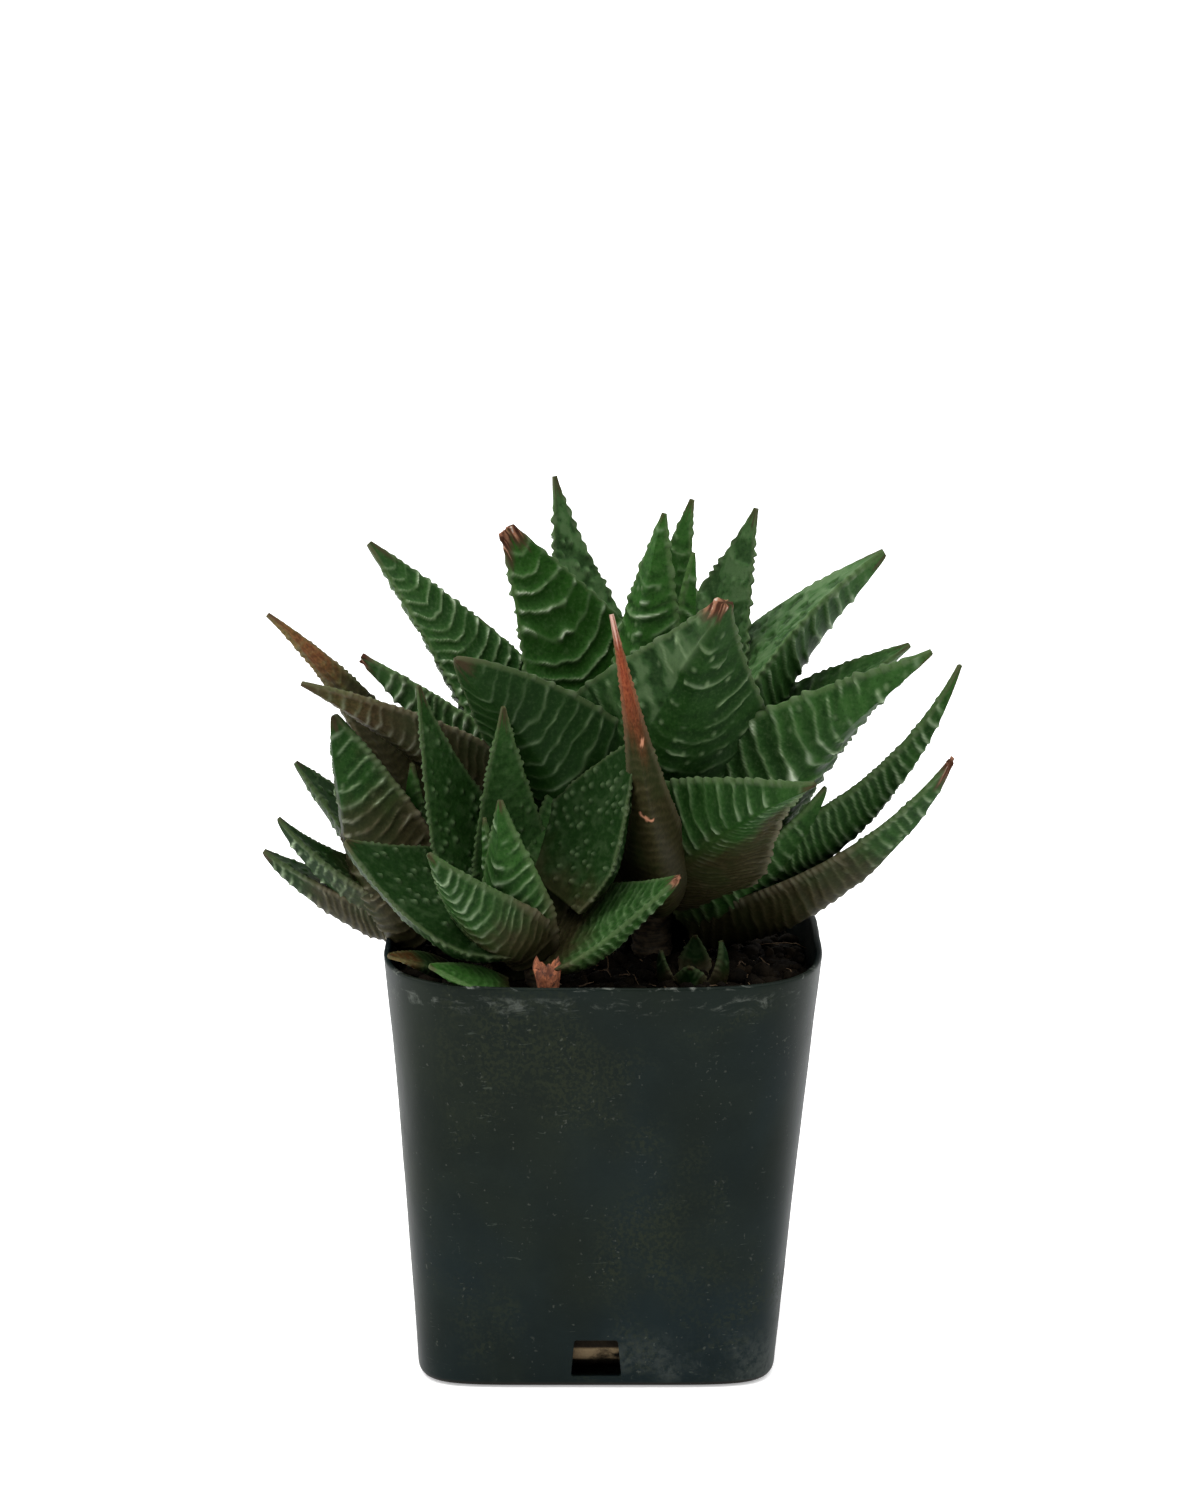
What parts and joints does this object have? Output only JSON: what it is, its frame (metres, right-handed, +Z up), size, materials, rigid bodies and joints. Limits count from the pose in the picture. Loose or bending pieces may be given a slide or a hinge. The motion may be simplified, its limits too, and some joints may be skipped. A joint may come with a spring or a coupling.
{
  "type": "potted succulent",
  "caption": "Small clump of ridged, toothed succulent rosettes with offsets and young rim leaves, filling a square tapered plastic nursery pot of dark potting mix.",
  "frame": {"origin": "middle of the pot's flat underside, on the surface it stands on", "axes": "+Z up the plant; -Y is the side seen first, with a drain slot low in its middle; +X to that viewer's right"},
  "size_m": [0.117, 0.0932, 0.144],
  "materials": {
    "pot_plastic": "satin",
    "soil": "matte",
    "leaf_green": "satin",
    "leaf_brown": "satin",
    "leaf_red": "satin",
    "stem": "matte",
    "dried_stalk": "matte"
  },
  "bodies": {
    "root": {"pot": "pot_plastic", "main_stem": "stem", "left_stem": "stem", "front_stem": "stem", "main_leaf_heart": "leaf_green", "main_leaf_upright_front": "leaf_green", "main_leaf_upright_back": "leaf_green", "main_leaf_high_back_right": "leaf_green", "main_leaf_broad_back_left": "leaf_green", "main_leaf_broad_front": "leaf_green", "main_leaf_high_back": "leaf_green", "main_leaf_high_right": "leaf_green", "main_leaf_rear_high": "leaf_green", "main_leaf_high_left": "leaf_green", "main_leaf_front_left": "leaf_green", "main_leaf_right_front": "leaf_green", "main_leaf_right_back": "leaf_green", "main_leaf_rear_right": "leaf_green", "main_leaf_rear_left": "leaf_green", "main_leaf_left_back": "leaf_green", "main_leaf_left_long": "leaf_brown", "main_leaf_front_red": "leaf_red", "main_leaf_front_right": "leaf_brown", "main_leaf_right_small": "leaf_green", "main_leaf_right_long": "leaf_green", "main_leaf_right_low": "leaf_brown", "main_leaf_rear_low": "leaf_green", "main_leaf_rear_low_right": "leaf_green", "main_leaf_rear_low_left": "leaf_green", "main_leaf_rear_foot": "leaf_green", "left_leaf_heart": "leaf_green", "left_leaf_broad": "leaf_brown", "left_leaf_red_tip": "leaf_red", "left_leaf_rear_right": "leaf_green", "left_leaf_back": "leaf_green", "left_leaf_rear": "leaf_green", "left_leaf_side": "leaf_green", "left_leaf_low": "leaf_brown", "front_leaf_heart": "leaf_green", "front_leaf_sliver": "leaf_green", "front_leaf_upright": "leaf_green", "front_leaf_shaded": "leaf_green", "front_leaf_back_left": "leaf_green", "front_leaf_back_right": "leaf_green", "front_leaf_left": "leaf_green", "front_leaf_front": "leaf_green", "front_leaf_right": "leaf_green", "rim_leaf_green": "leaf_green", "rim_leaf_red": "leaf_red", "baby_rosette": "leaf_green", "old_flower_stalk": "dried_stalk", "potting_mix": "soil"}
  },
  "joints": []
}
